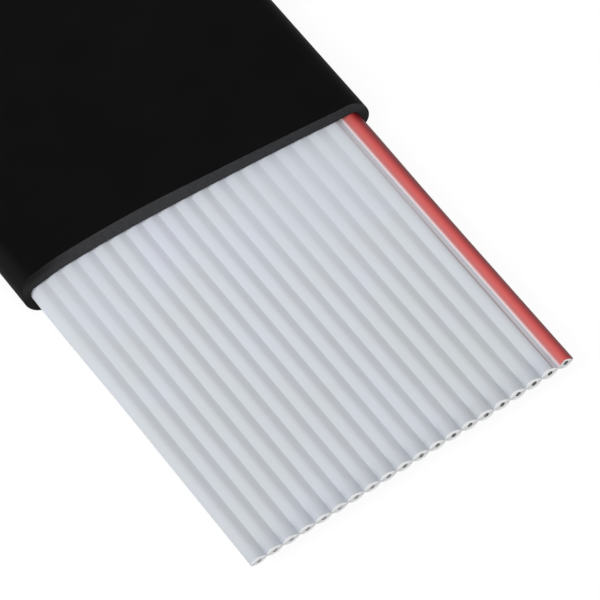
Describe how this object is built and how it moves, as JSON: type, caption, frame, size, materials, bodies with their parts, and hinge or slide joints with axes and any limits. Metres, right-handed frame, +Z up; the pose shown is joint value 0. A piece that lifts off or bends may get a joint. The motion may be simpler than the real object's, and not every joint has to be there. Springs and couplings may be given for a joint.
{
  "type": "jacketed ribbon cable",
  "caption": "Short sample of flat ribbon cable in a black flat jacket, with a bare cut end that shows its stranded conductors and a red edge.",
  "frame": {"origin": "on the surface that the jacket rests on, under the middle of the cable's length and width", "axes": "+X across the conductors towards the red edge, +Y along the cable from the bare cut end to the far end of the jacket, +Z up"},
  "size_m": [0.0268, 0.16, 0.0027],
  "materials": {
    "jacket": "soft matt extruded skin with a slightly greyer cut face",
    "insulation": "smooth satin extrusion, pale grey",
    "stripe": "satin red colour layer on the edge conductor",
    "wire": "tinned copper strands, cut ends dull"
  },
  "bodies": {
    "root": {"jacket": "jacket", "ribbon_insulation": "insulation", "edge_stripe": "stripe", "conductor_01": "wire", "conductor_02": "wire", "conductor_03": "wire", "conductor_04": "wire", "conductor_05": "wire", "conductor_06": "wire", "conductor_07": "wire", "conductor_08": "wire", "conductor_09": "wire", "conductor_10": "wire", "conductor_11": "wire", "conductor_12": "wire", "conductor_13": "wire", "conductor_14": "wire", "conductor_15": "wire", "conductor_16": "wire", "conductor_17": "wire", "conductor_18": "wire", "conductor_19": "wire", "conductor_20": "wire"}
  },
  "joints": []
}
